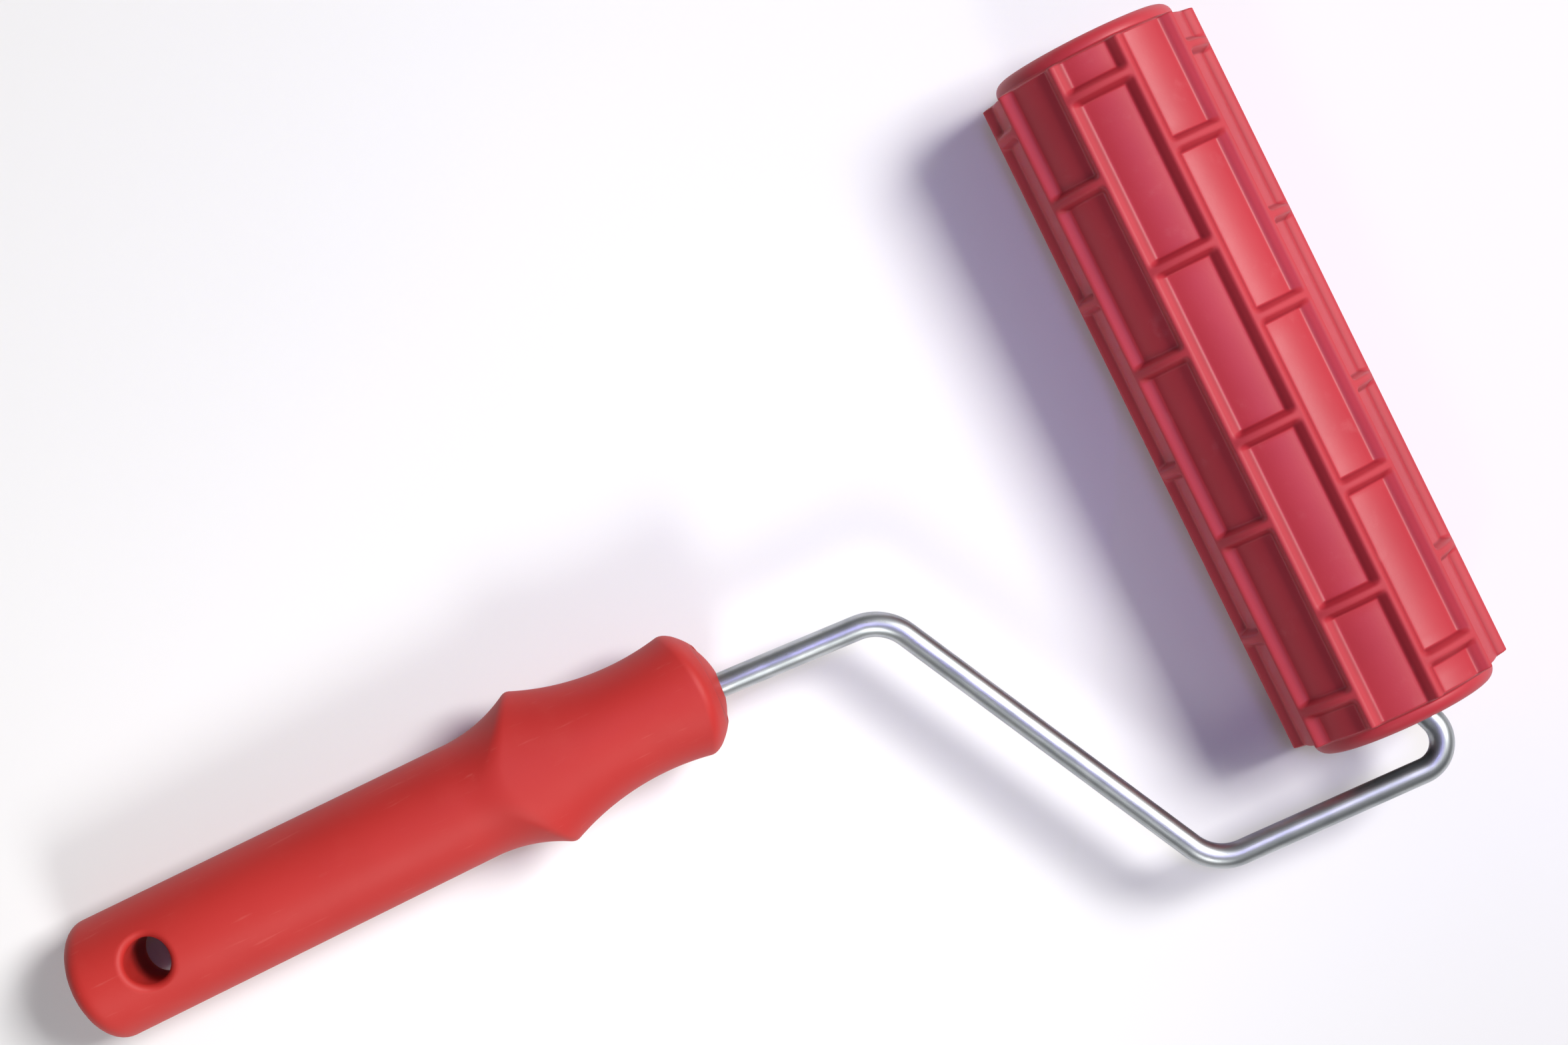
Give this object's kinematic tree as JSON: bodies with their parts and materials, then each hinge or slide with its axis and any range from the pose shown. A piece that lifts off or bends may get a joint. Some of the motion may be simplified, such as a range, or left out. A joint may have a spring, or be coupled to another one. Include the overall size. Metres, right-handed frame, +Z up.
{
  "type": "textured pattern roller",
  "caption": "Hand roller with a raised brick-and-mortar rubber sleeve turning on a cranked steel wire frame, with a moulded handle and a hanging hole.",
  "frame": {"origin": "bottom centre of the tool's bounding box as it lies on a table, resting on the roller and on the handle's butt", "axes": "+X from the handle's butt towards the roller, +Y along the roller's axis towards its free end, +Z up from the table"},
  "size_m": [0.3352, 0.1916, 0.0544],
  "materials": {
    "handle_plastic": "moulded polypropylene, satin, fine moulding texture and light scuffs",
    "socket_plastic": "moulded polypropylene, unpolished",
    "zinc_wire": "bright zinc-plated drawn wire with faint draw lines",
    "washer_steel": "zinc-plated stamping",
    "spring_steel": "spring steel, oiled",
    "red_rubber": "moulded solid rubber, smooth semi-matt with a soft sheen",
    "core_plastic": "extruded tube, matt",
    "cap_plastic": "moulded, satin",
    "bush_plastic": "acetal, natural white, smooth"
  },
  "bodies": {
    "frame": {"handle_shell": "handle_plastic", "nose_plug": "handle_plastic", "wire_socket": "socket_plastic", "wire_frame": "zinc_wire", "thrust_washer_near": "washer_steel", "thrust_washer_far": "washer_steel", "push_nut": "spring_steel"},
    "roller": {"pattern_sleeve": "red_rubber", "core_tube": "core_plastic", "end_cap_near": "cap_plastic", "end_cap_far": "cap_plastic", "bearing_bush_near": "bush_plastic", "bearing_bush_far": "bush_plastic", "hub_cover_far": "cap_plastic"}
  },
  "joints": [
    {"name": "roller_spin", "type": "hinge", "parent": "frame", "child": "roller", "pos_m": [0.1404, 0.00826, 0.0272], "axis": [0, 1, 0], "continuous": true}
  ]
}
